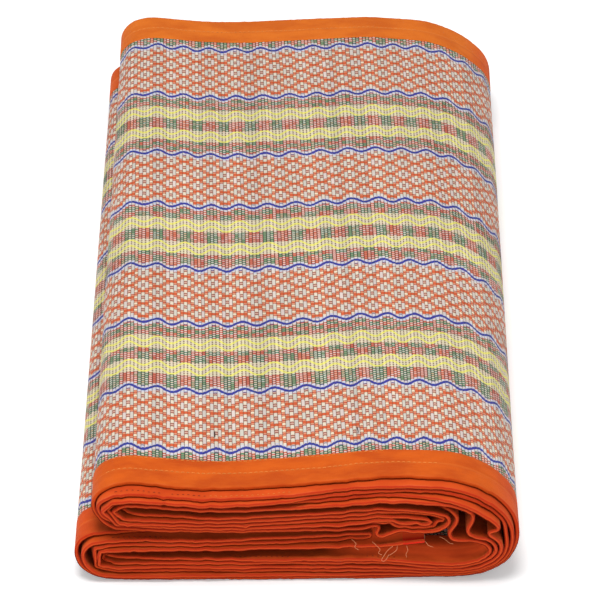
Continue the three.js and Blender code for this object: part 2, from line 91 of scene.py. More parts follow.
# left turns, outermost first
TURNS_TB = [(-139.0, 26.0, 15.0), (-135.75, 21.5, 13.5), (-132.5, 17.0, 11.5),
            (-129.25, 12.5, 9.0), (-126.0, 7.0, 7.0), (-123.4, 3.0, 3.0)]      # reach, radius over, under
TURN_TB_HEIGHT = 59.7
TURNS_CD = [(-151.1, 25.0, 4.0), (-146.5, 21.0, 3.0), (-143.5, 17.0, 3.0),
            (-140.5, 13.0, 1.5), (-137.4, 7.0, 0.0), (-134.8, 3.0, 0.0)]       # reach, radius, rise

# lower corner of the spine: centre x, centre z, fullness
SPINE_LOW = [(106, 34, 2.0), (106, 34, 2.0), (107, 32, 2.05), (108, 28, 2.1), (108, 28, 2.1), (108, 28, 2.1)]
# creases of the inner plies inside the spine: x, z
SPINE_CREASES = {
    3: [(142.6, 50.5), (143.0, 44), (143.8, 37.5)],
    4: [(112, 69.8), (124, 63.4), (133, 56.4), (140.6, 50.2), (137.6, 47.2), (130.2, 46.4),
        (130.4, 43.0), (136.6, 40.2), (139.8, 35.0)],
    5: [(104, 68.6), (113, 65.8), (120.4, 61.8), (121.4, 56.2), (117.6, 50.0), (115.8, 45.2),
        (118.6, 41.8), (126, 40.8), (131.8, 38.6), (136.0, 34.0)],
    6: [(97, 65.4), (104, 62.4), (109.6, 58.4), (110.8, 53.4), (106.6, 47.0), (103.4, 41.6),
        (105.6, 37.4), (114, 36.6), (123, 36.6), (129.5, 34.6), (132.6, 30.6)],
}
# right ends of pack B, from the upper ply round to the lower one: x, z
BEND_16 = [(70, 61.7), (84, 60.6), (95, 57.6), (103.0, 54.0), (105.2, 50.0), (101.8, 45.8), (95, 42.8),
           (86, 41.3), (76, 41.2), (67, 40.8), (60.4, 38.8), (54.6, 37.6), (53.2, 40.4), (57.0, 44.0),
           (58.2, 47.6), (53.4, 47.6), (47, 44.6)]
BEND_25 = [(70, 58.5), (82, 57.2), (90, 54.4), (95, 50.6), (91, 47.9), (82, 46.9), (72, 47.4), (64, 50.0), (57, 50.9)]
BEND_34 = [(64, 56.9), (72, 55.6), (79, 54.2), (81.6, 52.2), (78, 50.6), (70, 51.2), (64, 53.4), (57, 54.1)]
STATIONS = [-104, -88, -72, -56, -38, -20, 0, 20, 40]


# ------------------------------------------------------------------ the path
def smooth(a, b, x):
    t = min(1.0, max(0.0, (x - a) / (b - a)))
    return t * t * (3 - 2 * t)


def curve(table, x):
    """A smooth curve through the points of a table."""
    xs = [p[0] for p in table]
    zs = [p[1] for p in table]
    if x <= xs[0]:
        return zs[0]
    if x >= xs[-1]:
        return zs[-1]
    i = bisect.bisect_right(xs, x) - 1
    a, b, c, d = max(i - 1, 0), i, i + 1, min(i + 2, len(xs) - 1)
    h = xs[c] - xs[b]
    t = (x - xs[b]) / h
    m1 = (zs[c] - zs[a]) / (xs[c] - xs[a]) * h
    m2 = (zs[d] - zs[b]) / (xs[d] - xs[b]) * h
    return ((2 * t ** 3 - 3 * t ** 2 + 1) * zs[b] + (t ** 3 - 2 * t ** 2 + t) * m1
            + (-2 * t ** 3 + 3 * t ** 2) * zs[c] + (t ** 3 - t ** 2) * m2)


def top_line(x):
    return curve(TOP_LINE, x)


def level(ply, x):
    i, top = ORDER[ply], top_line(x)
    z = i * top / PACK
    if ply[0] in "BT":
        w = smooth(38, 56, x)
        z = (1 - w) * z + w * (top - (PACK - i) * T_PITCH)
    if ply[0] == "D":
        w = smooth(55, 110, x)
        z = (1 - w) * z + w * i * D_PITCH
    return z + PLY / 2


def stand(mark, x):
    left, middle, right = STAND[mark[:2]]
    t = (min(max(x, -120.0), 100.0) + 113.0) / 208.0
    t, m = min(1.15, max(-0.1, t)), 0.45
    back = SET_BACK.get(mark[:2], (0, 1, 0.0))
    return (-back[2] * smooth(back[0], back[1], x) + left * (t - m) * (t - 1) / m + middle * t * (t - 1) / (m * (m - 1))
            + right * t * (t - m) / (1 - m) + CREASE_STAND.get(mark, 0.0))


def spread(mark, x):
    return (NARROW_TB if mark[0] in "TB" else NARROW_CD) * smooth(-40, -118, x)


def quarter(cx, cz, rx, rz, full, a0, a1, steps):
    pts = []
    for k in range(steps + 1):
        a = math.radians(a0 + (a1 - a0) * k / steps)
        c, s = math.cos(a), math.sin(a)
        pts.append((cx + rx * math.copysign(abs(c) ** (2 / full), c), cz + rz * math.copysign(abs(s) ** (2 / full), s)))
    return pts


def turn_tb(k):
    reach, over, under = TURNS_TB[k - 1]
    xt, zm = reach + over, TURN_TB_HEIGHT
    up = quarter(xt, zm, over, level("T%d" % k, xt) - zm, 2.0, 90, 180, 4 if k < 5 else 2)
    if k >= 5:
        return up, quarter(xt, zm, over, zm - level("B%d" % k, xt), 2.0, 180, 270, 2)[1:]
    xe = reach + under
    drop = zm - level("B%d" % k, xe)
    return up, [(reach + 0.5, zm - 0.14 * drop), (reach + 0.42 * under, zm - 0.58 * drop),
                (xe - 0.12 * under, zm - 0.93 * drop), (xe + 3, level("B%d" % k, xe + 3))]


def turn_cd(k):
    reach, radius, rise = TURNS_CD[k - 1]
    xt = reach + radius
    zt, zb = level("C%d" % k, xt), level("D%d" % k, xt)
    zm, steps = (zt + zb) / 2 + rise, 4 if k < 5 else 2
    return (quarter(xt, zm, radius, zt - zm, 2.2, 90, 180, steps),
            quarter(xt, zm, radius, zm - zb, 2.2, 180, 270, steps)[1:])


def spine(k):
    x0, z0, reach = 95.0, 38.0, SPINE_REACH - SPINE_PITCH * (k - 1)
    zt, zd = top_line(x0) + PLY / 2 - (k - 1) * 3.3, PLY / 2 + D_PITCH * (k - 1)
    up = quarter(x0, z0, reach - x0, zt - z0, 1.84, 90, 0, 9)
    if k == 3:
        up = [p for p in up if p[1] > 53] + SPINE_CREASES[3]
    elif k < 3:
        up = up[:-1]
    else:
        up = list(SPINE_CREASES[k])
    cx, cz, full = SPINE_LOW[k - 1]
    return up, quarter(cx, cz, reach - cx, cz - zd, full, 0, -90, 7 if k < 4 else 6)


def way_points():
    """The strip's way from its outer free end C1 to its inner free end C4."""
    pts = []

    def add(mark, more):
        pts.extend((x, z, mark) for x, z in more)

    def run(ply, to_right):
        xs = list(STATIONS) + ([56, 75] if ply[0] == "T" else []) + ([60, 85, 99] if ply[0] == "D" else [])
        add(ply, [(x, level(ply, x)) for x in (xs if to_right else xs[::-1])])

    def left(a, b):
        up, low = (turn_tb if a[0] in "TB" else turn_cd)(int(a[1]))
        down = a[0] in "TC"
        add(a + "<", up if down else low[::-1])
        add(b + "<", low if down else up[::-1])

    def right(a, b):
        up, low = spine(int(a[1]))
        down = a[0] == "T"
        add(a + ">", up if down else low[::-1])
        add(b + ">", low if down else up[::-1])

    def nose(upper, lower, start, tip, a):
        zu, zl = level(upper, start), level(lower, start)
        more = [(start, zu - 0.2), (tip, (zu + zl) / 2), (start, zl + 0.2)]
        add(a + ">", more if a == upper else more[::-1])

    add("C1", [(46, level("C1", 46))])
    run("C1", False); left("C1", "D1"); run("D1", True); right("D1", "T1"); run("T1", False); left("T1", "B1")
    run("B1", True); add("B1>", BEND_16[::-1]); run("B6", False)
    left("B6", "T6"); run("T6", True); right("T6", "D6"); run("D6", False); left("D6", "C6")
    run("C6", True); nose("C5", "C6", 60, 64.5, "C6"); run("C5", False)
    left("C5", "D5"); run("D5", True); right("D5", "T5"); run("T5", False); left("T5", "B5")
    run("B5", True); add("B5>", BEND_25); run("B2", False)
    left("B2", "T2"); run("T2", True); right("T2", "D2"); run("D2", False); left("D2", "C2")
    run("C2", True); nose("C2", "C3", 50, 54, "C2"); run("C3", False)
    left("C3", "D3"); run("D3", True); right("D3", "T3"); run("T3", False); left("T3", "B3")
    run("B3", True); add("B3>", BEND_34[::-1]); run("B4", False)
    left("B4", "T4"); run("T4", True); right("T4", "D4"); run("D4", False); left("D4", "C4")
    run("C4", True); add("C4>", [(60, level("C4", 60)), (74, 33.2), (88, 36)])
    return pts


def round_path(pts, step):
    """Centripetal spline through the way points, then even steps: x, z, stand, spread, ply number."""
    P = np.array([(p[0], p[1]) for p in pts])
    S = [stand(m, x) for x, z, m in pts]
    Q = [spread(m, x) for x, z, m in pts]
    K = [ORDER[m[:2]] for x, z, m in pts]
    rows = []
    n = len(P)
    for i in range(n - 1):
        p1, p2 = P[i], P[i + 1]
        p0 = P[i - 1] if i else 2 * p1 - p2
        p3 = P[i + 2] if i + 2 < n else 2 * p2 - p1
        t1 = max(1e-4, math.hypot(*(p1 - p0)) ** 0.5)
        t2 = t1 + max(1e-4, math.hypot(*(p2 - p1)) ** 0.5)
        t3 = t2 + max(1e-4, math.hypot(*(p3 - p2)) ** 0.5)
        m = max(1, int(round(math.hypot(*(p2 - p1)) / (step / 2))))
        for j in range(m):
            f = j / m
            t = t1 + (t2 - t1) * f
            a1 = p0 + (p1 - p0) * t / t1
            a2 = p1 + (p2 - p1) * (t - t1) / (t2 - t1)
            a3 = p2 + (p3 - p2) * (t - t2) / (t3 - t2)
            b1 = a1 + (a2 - a1) * t / t2
            b2 = a2 + (a3 - a2) * (t - t1) / (t3 - t1)
            c = b1 + (b2 - b1) * (t - t1) / (t2 - t1)
            rows.append((c[0], c[1], S[i] + (S[i + 1] - S[i]) * f, Q[i] + (Q[i + 1] - Q[i]) * f, K[i] if f < 0.5 else K[i + 1]))
    rows.append((P[-1][0], P[-1][1], S[-1], Q[-1], K[-1]))
    A = np.array(rows)
    d = np.hypot(*(A[1:, :2] - A[:-1, :2]).T)
    s = np.concatenate([[0], np.cumsum(d)])
    t = np.linspace(0, s[-1], int(round(s[-1] / step)) + 1)
    out = np.stack([np.interp(t, s, A[:, c]) for c in range(4)], 1)
    ply = A[np.clip(np.searchsorted(s, t), 0, len(A) - 1), 4].astype(int)
    return out, ply


def press(path):
    """Plies push each other apart to SPACING, bending stiffness rounds the folds, a weak pull holds their place."""
    reach, rounds, stiff, hold, free = 6, 160, 0.28, 0.03, 30
    P = path[:, :2].copy()
    home = P.copy()
    n = len(P)
    for r in range(rounds):
        cell = np.floor(P / SPACING).astype(int)
        key = {}
        for i, c in enumerate(map(tuple, cell)):
            key.setdefault(c, []).append(i)
        a, b = [], []
        for (cx, cz), ids in key.items():
            for dx, dz in ((0, 0), (1, 0), (0, 1), (1, 1), (1, -1)):
                other = key.get((cx + dx, cz + dz))
                if not other:
                    continue
                same = dx == 0 and dz == 0
                for i in ids:
                    for j in other:
                        if (not same or j > i) and abs(i - j) > reach:
                            a.append(i)
                            b.append(j)
        a, b = np.array(a), np.array(b)
        d = P[b] - P[a]
        L = np.hypot(d[:, 0], d[:, 1])
        near = L < SPACING
        a, b, d, L = a[near], b[near], d[near], L[near]
        q = d * ((SPACING - L) / np.maximum(L, 0.05) * 0.5)[:, None]
        move, hits = np.zeros_like(P), np.zeros(n)
        np.add.at(move, a, -q)
        np.add.at(move, b, q)
        np.add.at(hits, a, 1)
        np.add.at(hits, b, 1)
        P += move / np.maximum(hits, 1)[:, None]
        lap = np.zeros_like(P)
        lap[1:-1] = (P[:-2] + P[2:]) / 2 - P[1:-1]
        P += stiff * lap
        P[:, 1] = np.maximum(P[:, 1], PLY / 2)
        if r < rounds - free:
            P += hold * (home - P)
    out = path.copy()
    out[:, :2] = P
    ease = 16
    for c in (2, 3):
        pad = np.concatenate([[path[0, c]] * ease, path[:, c], [path[-1, c]] * ease])
        out[:, c] = np.convolve(pad, np.ones(2 * ease + 1) / (2 * ease + 1), "valid")
    return out


WAY, PLY_AT = round_path(way_points(), 1.0)
WAY = press(WAY)
_d = np.hypot(*(WAY[1:, :2] - WAY[:-1, :2]).T)
ARC = np.concatenate([[0], np.cumsum(_d)])
LENGTH = float(ARC[-1])
_t1 = [i for i in range(len(WAY)) if PLY_AT[i] == ORDER["T1"] and abs(WAY[i, 0]) < 1.0 and WAY[i, 1] > 70]
ARC_TOP = float(ARC[_t1[len(_t1) // 2]] + WAY[_t1[len(_t1) // 2], 0])    # arc length at x = 0 on the top ply


def at_arc(s):
    """x, z, stand, spread, side x, side z at arc lengths s."""
    s = np.asarray(s, float)
    cols = [np.interp(s, ARC, WAY[:, c]) for c in range(4)]
    T = np.gradient(WAY[:, :2], ARC, axis=0)
    k = np.array([1, 2, 1]) / 4.0
    for c in (0, 1):
        T[:, c] = np.convolve(np.pad(T[:, c], 1, mode="edge"), k, "valid")
    T /= np.hypot(T[:, 0], T[:, 1])[:, None]
    tx, tz = np.interp(s, ARC, T[:, 0]), np.interp(s, ARC, T[:, 1])
    m = np.maximum(np.hypot(tx, tz), 1e-6)
    return cols[0], cols[1], cols[2], cols[3], -tz / m, tx / m


# Near the tape's edge the inner plies of the left turns are creased flat: the middle of the turn (x, z), its
# plies, the directions of the creases in degrees, and how far the creases stand out.
CREASED = [(-113.0, 59.7, "TB", (138, 172, 228), 1.03), (-126.0, 22.0, "CD", (147, 222), 0.99)]
# Near the tape's edge the right end of pack B is crumpled: where each loop leaves its upper and lower ply
# (x, z), and the way round between them (x, z).
CRUMPLED = [
    ((66, 62.1), (60.4, 38.8), [(71, 62.1), (81, 61.5), (89.7, 60.9), (96.5, 59.7), (101.8, 58.0), (104.0, 55.0),
                                (104.1, 52.2), (102.2, 49.3), (98.6, 46.9), (94.8, 45.1), (89.7, 44.3), (84.6, 44.6),
                                (79.8, 43.9), (75.0, 44.7), (69.5, 43.9), (65.0, 41.6)]),
    ((66, 59.0), (60.0, 50.6), [(71, 59.1), (81, 58.5), (89.7, 57.9), (94.8, 56.9), (98.4, 55.5), (101.0, 54.2),
                                (100.6, 52.7), (98.0, 52.7), (96.3, 51.6), (95.4, 49.8), (94.4, 48.1), (92.5, 47.9),
                                (89.7, 47.3), (84.6, 47.6), (79.8, 46.9), (74.3, 47.8), (69.6, 47.2), (66.4, 48.8),
                                (64.4, 50.6)]),
    ((66, 56.7), (60.0, 53.9), [(71, 56.1), (76.5, 55.9), (81.2, 55.4), (86.0, 54.9), (90.2, 54.2), (92.6, 52.8),
                                (91.6, 51.0), (88.0, 50.2), (84.8, 50.5), (82.6, 52.1), (80.0, 51.6), (76.0, 50.6),
                                (70.0, 51.0), (65.6, 53.2)]),
]


def crease(way):
    out = way[:, :2].copy()
    n = len(out)
    for cx, cz, packs, angles, swell in CREASED:
        plies = [ORDER[pack + k] for pack in packs for k in "3456"]
        inside = (way[:, 0] < cx) & np.isin(PLY_AT, plies)
        i = 0
        while i < n:
            if not inside[i]:
                i += 1
                continue
            j = i
            while j + 1 < n and inside[j + 1]:
                j += 1
            turn = np.degrees(np.arctan2(way[i:j + 1, 1] - cz, way[i:j + 1, 0] - cx)) % 360
            knots = {i: way[i, :2], j: way[j, :2]}
            for a in angles:
                k = i + int(np.argmin(np.abs(turn - a)))
                if i + 2 < k < j - 2 and abs(turn[k - i] - a) < 12:
                    knots[k] = np.array([cx, cz]) + (way[k, :2] - np.array([cx, cz])) * swell
            ks = sorted(knots)
            for c in (0, 1):
                out[i:j + 1, c] = np.interp(np.arange(i, j + 1), ks, [knots[k][c] for k in ks])
            i = j + 1
    for r in range(2):
        out[1:-1] = (out[:-2] + 2 * out[1:-1] + out[2:]) / 4
    far_off = np.hypot(*(out - way[:, :2]).T) < 0.03
    out[far_off] = way[far_off, :2]
    return out


def crumple(way, out):
    for first, last, table in CRUMPLED:
        i0 = int(np.argmin(np.hypot(way[:, 0] - first[0], way[:, 1] - first[1])))
        i1 = int(np.argmin(np.hypot(way[:, 0] - last[0], way[:, 1] - last[1])))
        if i0 > i1:
            i0, i1, table = i1, i0, table[::-1]
        points = [tuple(way[i0, :2])] + table + [tuple(way[i1, :2])]
        line = round_path([(x, z, "B1") for x, z in points], 0.5)[0][:, :2]
        run = np.concatenate([[0], np.cumsum(np.hypot(*np.diff(line, axis=0).T))])
        at = np.linspace(0, run[-1], i1 - i0 + 1)
        out[i0:i1 + 1] = np.stack([np.interp(at, run, line[:, 0]), np.interp(at, run, line[:, 1])], -1)
    return out


CREASE_WAY = crumple(WAY, crease(WAY))


def at_crease(s):
    """x, z, side x, side z of the creased path at arc lengths s."""
    s = np.asarray(s, float)
    T = np.gradient(CREASE_WAY, ARC, axis=0)
    T /= np.maximum(np.hypot(T[:, 0], T[:, 1]), 1e-6)[:, None]
    tx, tz = np.interp(s, ARC, T[:, 0]), np.interp(s, ARC, T[:, 1])
    m = np.maximum(np.hypot(tx, tz), 1e-6)
    return np.interp(s, ARC, CREASE_WAY[:, 0]), np.interp(s, ARC, CREASE_WAY[:, 1]), -tz / m, tx / m


def bend_radius(s):
    """Radius of the fold at arc lengths s, for the spacing of samples."""
    k = np.zeros(len(ARC))
    for way in (WAY[:, :2], CREASE_WAY):
        T = np.gradient(way, ARC, axis=0)
        ang = np.unwrap(np.arctan2(T[:, 1], T[:, 0]))
        k = np.maximum(k, np.abs(np.gradient(ang, ARC)))
    k = np.convolve(np.pad(k, 2, mode="edge"), np.ones(5) / 5, "valid")
    return 1.0 / np.maximum(np.interp(s, ARC, k), 1e-4)


def samples(fine, coarse, ratio, where=None):
    """Arc lengths along the strip, closer together where it bends."""
    out, s = [0.0], 0.0
    grid = np.arange(0, LENGTH + 1, 0.5)
    rad = bend_radius(grid)
    while s < LENGTH:
        r = float(np.interp(s + fine, grid, rad))
        step = min(coarse, max(fine, r * ratio))
        if where is not None:
            step = min(step, where(s))
        s += step
        out.append(min(s, LENGTH))
    if out[-1] - out[-2] < fine * 0.5:
        out.pop(-2)
    return np.array(out)


# ------------------------------------------------------------------ small helpers
def wobble(seed, waves, lo, hi):
    """A sum of sines with lengths between lo and hi, about -1 to 1."""
    r = np.random.default_rng(seed)
    lam = np.exp(r.uniform(math.log(lo), math.log(hi), waves))
    ph = r.uniform(0, 2 * math.pi, waves)
    am = r.uniform(0.5, 1.0, waves)
    am /= np.sqrt((am ** 2).sum() / 2) * 1.6
    return lambda x: (am * np.sin(2 * math.pi * np.asarray(x, float)[..., None] / lam + ph)).sum(-1)


SINK_X = np.arange(-160, 161)
SINK = np.array([curve(FAR_TOP, float(x)) / TOP for x in SINK_X])
RIPPLE, SWELL = wobble(5, 9, 9, 40), wobble(6, 6, 50, 170)


def place(x, y, z, ply_x, q, p):
    """Where points of the strip lie: the far edge narrows and sinks, the near one is uneven.  y from the strip's middle."""
    far = (y + REED / 2) / REED
    lift = np.exp(-(y + REED / 2) / 24.0) * np.clip(z / 14.0, 0, 1)
    tilt = np.sin(z / 19.0)
    z2 = z * (1 + far * np.interp(ply_x, SINK_X, SINK)) + lift * (0.34 * RIPPLE(x + 3.0 * tilt) + 0.30 * SWELL(x + 10.0 * tilt))
    return np.stack(np.broadcast_arrays(x + far * q, y - p, z2), -1)


def over(s, y, h):
    """Points at height h over the ply's middle, creased near the near edge: x, z."""
    x, z, p, q, nx, nz = (c[:, None] for c in at_arc(s))
    cx, cz, cnx, cnz = (c[:, None] for c in at_crease(s))
    w = np.exp(-np.clip(y + REED / 2, 0, None) / 20.0)
    return (x + h * nx) * (1 - w) + (cx + h * cnx) * w, (z + h * nz) * (1 - w) + (cz + h * cnz) * w


def new_mesh(name, verts_mm, faces, uvs=None, material=None, smooth_shade=True, painted_shade_light=None):
    v = np.array(verts_mm, float)
    v = (v + np.array([OFFSET_X, OFFSET_Y, 0.0])) * MM
    v[:, 2] = np.maximum(v[:, 2], 0.0)
    mesh = bpy.data.meshes.new(name)
    mesh.from_pydata(v.tolist(), [], faces)
    if uvs is not None:
        layer = mesh.uv_layers.new(name="cloth")
        idx = np.zeros(len(mesh.loops), np.int32)
        mesh.loops.foreach_get("vertex_index", idx)
        layer.data.foreach_set("uv", (np.array(uvs, float)[idx] * MM).astype(np.float32).ravel())
    if painted_shade_light is not None:
        layer = mesh.uv_layers.new(name="painted_shade_light")
        layer.data.foreach_set("uv", np.array(painted_shade_light, float)[idx].astype(np.float32).ravel())
    if smooth_shade:
        mesh.polygons.foreach_set("use_smooth", [True] * len(mesh.polygons))
    mesh.update()
    ob = bpy.data.objects.new(name, mesh)
    bpy.context.scene.collection.objects.link(ob)
    if material is not None:
        mesh.materials.append(material)
    return ob


def tube_grid(n, m, closed=True):
    """Faces of a grid n long and m round, closed round, with end faces."""
    f = []
    for i in range(n - 1):
        for j in range(m if closed else m - 1):
            a, b = i * m + j, i * m + (j + 1) % m
            f.append((a, b, b + m, a + m))
    return f


# ------------------------------------------------------------------ shader expressions
class Ex:
    """A number in a node tree, with arithmetic."""
    tree = None

    def __init__(self, s):
        self.s = s

    @staticmethod
    def op(kind, *args, clamp=False):
        n = Ex.tree.nodes.new("ShaderNodeMath")
        n.operation = kind
        n.use_clamp = clamp
        for i, a in enumerate(args):
            if isinstance(a, Ex):
                Ex.tree.links.new(a.s, n.inputs[i])
            else:
                n.inputs[i].default_value = float(a)
        return Ex(n.outputs[0])

    def __add__(self, o): return Ex.op("ADD", self, o)
    def __radd__(self, o): return Ex.op("ADD", o, self)
    def __sub__(self, o): return Ex.op("SUBTRACT", self, o)
    def __rsub__(self, o): return Ex.op("SUBTRACT", o, self)
    def __mul__(self, o): return Ex.op("MULTIPLY", self, o)
    def __rmul__(self, o): return Ex.op("MULTIPLY", o, self)
    def __truediv__(self, o): return Ex.op("DIVIDE", self, o)
    def __neg__(self): return Ex.op("MULTIPLY", self, -1.0)
    def sin(self): return Ex.op("SINE", self)
    def cos(self): return Ex.op("COSINE", self)
    def floor(self): return Ex.op("FLOOR", self)
    def fract(self): return Ex.op("FRACT", self)
    def abs(self): return Ex.op("ABSOLUTE", self)
    def sqrt(self): return Ex.op("SQRT", self)
    def round(self): return Ex.op("ROUND", self)
    def lt(self, o): return Ex.op("LESS_THAN", self, o)
    def gt(self, o): return Ex.op("GREATER_THAN", self, o)
    def min(self, o): return Ex.op("MINIMUM", self, o)
    def max(self, o): return Ex.op("MAXIMUM", self, o)
    def clamp(self): return Ex.op("ADD", self, 0.0, clamp=True)

    def ramp(self, a, b, lo=0.0, hi=1.0):
        """lo at a, hi at b, smooth between and flat beyond."""
        n = Ex.tree.nodes.new("ShaderNodeMapRange")
        n.interpolation_type = "SMOOTHSTEP"
        n.clamp = True
        Ex.tree.links.new(self.s, n.inputs["Value"])
        n.inputs["From Min"].default_value = a
        n.inputs["From Max"].default_value = b
        n.inputs["To Min"].default_value = lo
        n.inputs["To Max"].default_value = hi
        return Ex(n.outputs["Result"])


def rgb(r, g, b):
    """An sRGB colour of 0 to 255 as linear RGBA."""
    def lin(c):
        c /= 255.0
        return c / 12.92 if c <= 0.04045 else ((c + 0.055) / 1.055) ** 2.4
    return (lin(r), lin(g), lin(b), 1.0)


def mix(fac, a, b, blend="MIX"):
    n = Ex.tree.nodes.new("ShaderNodeMix")
    n.data_type = "RGBA"
    n.blend_type = blend
    n.clamp_factor = True
    for sock, v in ((n.inputs["Factor"], fac), (n.inputs["A"], a), (n.inputs["B"], b)):
        if isinstance(v, Ex):
            Ex.tree.links.new(v.s, sock)
        elif isinstance(v, bpy.types.NodeSocket):
            Ex.tree.links.new(v, sock)
        else:
            sock.default_value = v
    return n.outputs["Result"]


def vector(x, y, z=0.0):
    n = Ex.tree.nodes.new("ShaderNodeCombineXYZ")
    for i, a in enumerate((x, y, z)):
        if isinstance(a, Ex):
            Ex.tree.links.new(a.s, n.inputs[i])
        else:
            n.inputs[i].default_value = float(a)
    return n.outputs[0]


def noise(vec, scale, detail=2.0, rough=0.5):
    n = Ex.tree.nodes.new("ShaderNodeTexNoise")
    n.noise_dimensions = "3D"
    Ex.tree.links.new(vec, n.inputs["Vector"])
    n.inputs["Scale"].default_value = scale
    n.inputs["Detail"].default_value = detail
    n.inputs["Roughness"].default_value = rough
    return Ex(n.outputs["Fac"])


def white(vec):
    n = Ex.tree.nodes.new("ShaderNodeTexWhiteNoise")
    n.noise_dimensions = "2D"
    Ex.tree.links.new(vec, n.inputs["Vector"])
    return Ex(n.outputs["Value"])


def material(name, rough, sheen=0.0):
    m = bpy.data.materials.new(name)
    m.use_nodes = True
    t = m.node_tree
    t.nodes.clear()
    out = t.nodes.new("ShaderNodeOutputMaterial")
    bsdf = t.nodes.new("ShaderNodeBsdfPrincipled")
    t.links.new(bsdf.outputs[0], out.inputs[0])
    bsdf.inputs["Roughness"].default_value = rough
    bsdf.inputs["Specular IOR Level"].default_value = 0.25
    bsdf.inputs["Sheen Weight"].default_value = sheen
    bsdf.inputs["Sheen Roughness"].default_value = 0.5
    Ex.tree = t
    return m, t, bsdf


def bump(height, distance, strength=1.0):
    n = Ex.tree.nodes.new("ShaderNodeBump")
    n.inputs["Distance"].default_value = distance
    n.inputs["Strength"].default_value = strength
    Ex.tree.links.new(height.s, n.inputs["Height"])
    return n.outputs["Normal"]


def cloth_uv():
    n = Ex.tree.nodes.new("ShaderNodeUVMap")
    n.uv_map = "cloth"
    sep = Ex.tree.nodes.new("ShaderNodeSeparateXYZ")
    Ex.tree.links.new(n.outputs[0], sep.inputs[0])
    return Ex(sep.outputs[0]) * 1000.0, Ex(sep.outputs[1]) * 1000.0


# ------------------------------------------------------------------ the woven pattern
BLUE, BLUE_PALE = rgb(36, 54, 158), rgb(206, 212, 232)
GREEN, RED, ORANGE = rgb(66, 130, 92), rgb(206, 84, 58), rgb(218, 98, 54)
REED_WHITE, REED_GREY, REED_CREAM = rgb(230, 214, 208), rgb(212, 208, 196), rgb(240, 226, 198)
PINK, PEACH = rgb(228, 176, 152), rgb(232, 172, 134)
YELLOW, YELLOW_BODY, BODY_PINK = rgb(242, 236, 116), rgb(230, 222, 180), rgb(224, 206, 188)
BROWN, DARK, SHADE = rgb(112, 78, 46), rgb(58, 40, 32), rgb(128, 82, 60)
DOT_PITCH = 2.6          # warps along a reed: over and under once
ROW = 15.7               # flowers of a diamond column
BAND = REPEAT / 2 - WAVE_OUT


